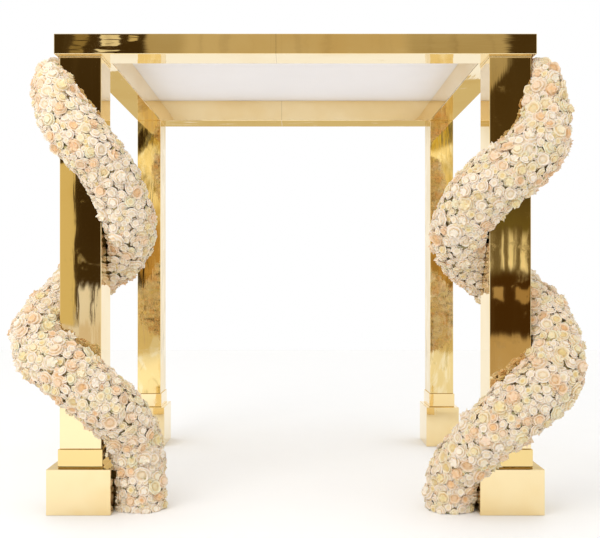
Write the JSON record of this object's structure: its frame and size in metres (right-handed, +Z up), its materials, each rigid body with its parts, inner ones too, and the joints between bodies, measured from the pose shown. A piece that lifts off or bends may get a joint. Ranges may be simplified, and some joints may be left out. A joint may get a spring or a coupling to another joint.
{
  "type": "chuppah canopy",
  "caption": "Open wedding canopy frame with four square gold mirror posts on blocks, four beams, a stretched white cloth roof and rope garlands of flowers round the front posts.",
  "frame": {"origin": "on the floor, in the middle of the whole piece", "axes": "+Z up, the front with the garlands faces -Y, +X to the right of someone who looks at the front"},
  "size_m": [3.1413, 2.647, 2.6403],
  "materials": {
    "gold_mirror": "polished gold mirror sheet, wrapped by hand and faintly wavy",
    "white_cloth": "matt white stretch cloth",
    "flowers": "packed silk roses in cream, white and blush with small leaves"
  },
  "bodies": {
    "root": {"base_front_left": "gold_mirror", "base_front_right": "gold_mirror", "base_back_left": "gold_mirror", "base_back_right": "gold_mirror", "foot_block_front_left": "gold_mirror", "foot_block_front_right": "gold_mirror", "foot_block_back_left": "gold_mirror", "foot_block_back_right": "gold_mirror", "post_front_left": "gold_mirror", "post_front_right": "gold_mirror", "post_back_left": "gold_mirror", "post_back_right": "gold_mirror", "cap_plate_left": "gold_mirror", "cap_plate_right": "gold_mirror", "front_beam": "gold_mirror", "front_batten": "gold_mirror", "back_beam": "gold_mirror", "side_beam_left": "gold_mirror", "side_beam_right": "gold_mirror", "canopy_cloth": "white_cloth", "garland_left_top": "flowers", "garland_left_upper_inner": "flowers", "garland_left_upper_back": "flowers", "garland_left_middle_outer": "flowers", "garland_left_lower_front": "flowers", "garland_left_foot": "flowers", "garland_right_top": "flowers", "garland_right_upper_inner": "flowers", "garland_right_upper_back": "flowers", "garland_right_middle_outer": "flowers", "garland_right_lower_front": "flowers", "garland_right_foot": "flowers"}
  },
  "joints": []
}
